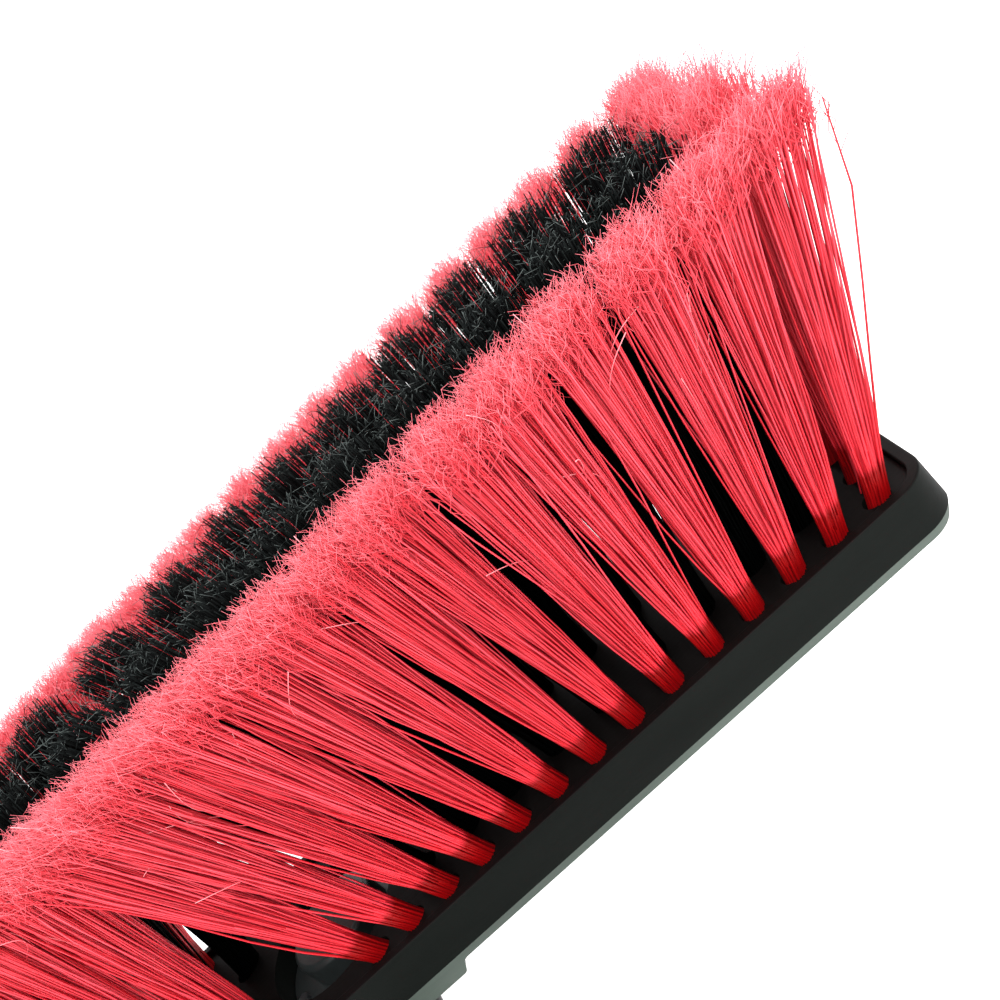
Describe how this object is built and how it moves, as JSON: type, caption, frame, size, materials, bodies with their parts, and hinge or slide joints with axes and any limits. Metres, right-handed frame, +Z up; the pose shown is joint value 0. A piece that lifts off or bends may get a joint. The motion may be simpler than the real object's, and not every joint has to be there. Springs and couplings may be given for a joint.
{
  "type": "snow brush scraper",
  "caption": "Telescopic snow brush with a pivoting T-shaped head of red and black bristle tufts, a lever clamp, a foam grip and an ice scraper blade.",
  "frame": {"origin": "on the floor under the middle of the tool, which stands on its neck foot, foam grip and scraper edge with the bristles up", "axes": "+Y along the pole from the scraper to the brush head, +Z up, which is the way the bristles point, +X along the brush head"},
  "size_m": [0.318, 0.688, 0.114],
  "materials": {
    "block_plastic": "matt moulded black plastic with a fine drawn grain",
    "red_bristle": "coral red nylon filament with split tips",
    "black_bristle": "black nylon filament with split grey tips",
    "steel": "zinc plated steel",
    "gear_plastic": "natural acetal",
    "red_plastic": "satin red moulded plastic",
    "bare_aluminium": "drawn aluminium tube",
    "painted_tube": "satin black painted aluminium tube",
    "grip_foam": "closed cell foam",
    "blade_plastic": "hard red moulded plastic"
  },
  "bodies": {
    "handle": {"outer_tube": "painted_tube", "guide_bushing": "gear_plastic", "clamp_collar": "block_plastic", "clamp_shoe": "gear_plastic", "clamp_pin": "steel", "collar_screw": "steel", "foam_grip": "grip_foam", "grip_front_ring": "block_plastic", "grip_rear_ring": "block_plastic", "scraper_socket": "block_plastic", "scraper_blade": "blade_plastic", "scraper_screws": "steel"},
    "neck": {"neck_arm": "block_plastic", "snap_ring": "steel", "inner_tube": "bare_aluminium", "neck_rivets": "steel", "tube_end_plug": "gear_plastic"},
    "head": {"brush_block": "block_plastic", "near_row_tufts": "red_bristle", "far_row_tufts": "red_bristle", "end_tufts": "red_bristle", "inner_near_tufts": "black_bristle", "inner_far_tufts": "black_bristle", "tuft_staples": "steel", "pivot_cap": "block_plastic", "cap_screws": "steel", "return_spring": "steel"},
    "gear": {"lock_gear": "gear_plastic"},
    "button": {"release_button": "red_plastic"},
    "lever": {"clamp_lever": "red_plastic"}
  },
  "joints": [
    {"name": "tube_slide", "type": "slide", "parent": "handle", "child": "neck", "axis": [0, 1, 0], "range_m": [0, 0.25]},
    {"name": "head_pivot", "type": "hinge", "parent": "neck", "child": "head", "pos_m": [0, 0.306, 0.045], "axis": [0, 0, 1], "continuous": true},
    {"name": "gear_lift", "type": "slide", "parent": "head", "child": "gear", "axis": [0, 0, 1], "range_m": [0, 0.004], "stiffness_N_per_m": 500, "springref_m": -0.002, "deforming": ["return_spring"]},
    {"name": "button_press", "type": "slide", "parent": "neck", "child": "button", "axis": [0, 0, 1], "range_m": [0, 0.004]},
    {"name": "clamp_lever_flip", "type": "hinge", "parent": "handle", "child": "lever", "pos_m": [0, 0.126, 0.0345], "axis": [-1, 0, 0], "range_deg": [0, 100]}
  ],
  "couplings": [
    {"joint": "button_press", "follows": "gear_lift", "ratio": 1}
  ]
}
